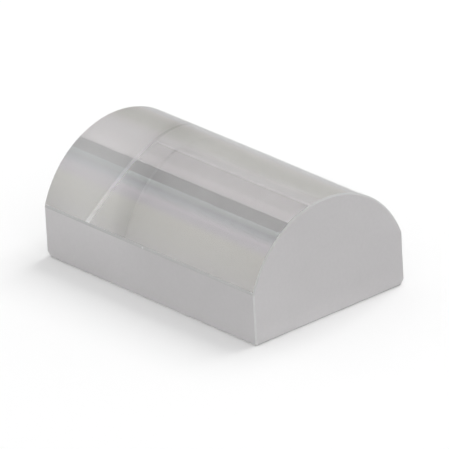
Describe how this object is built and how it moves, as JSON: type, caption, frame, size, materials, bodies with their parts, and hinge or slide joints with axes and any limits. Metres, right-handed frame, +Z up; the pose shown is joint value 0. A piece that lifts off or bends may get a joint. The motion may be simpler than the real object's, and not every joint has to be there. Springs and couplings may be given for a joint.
{
  "type": "cylindrical lens",
  "caption": "Plano-convex cylindrical lens: a clear glass bar of D-shaped section with a flat base, fine-ground sides and ends, and narrow bevels.",
  "frame": {"origin": "centre of the flat (plano) face, which the lens stands on", "axes": "+X along the straight direction of the cylindrical curve, the longest side; +Y across the curve; +Z up along the optical axis, out of the middle of the convex face"},
  "size_m": [0.02, 0.0126, 0.008],
  "materials": {
    "glass": "polished convex face and base, fine-ground sides and ends"
  },
  "bodies": {
    "root": {"lens": "glass"}
  },
  "joints": []
}
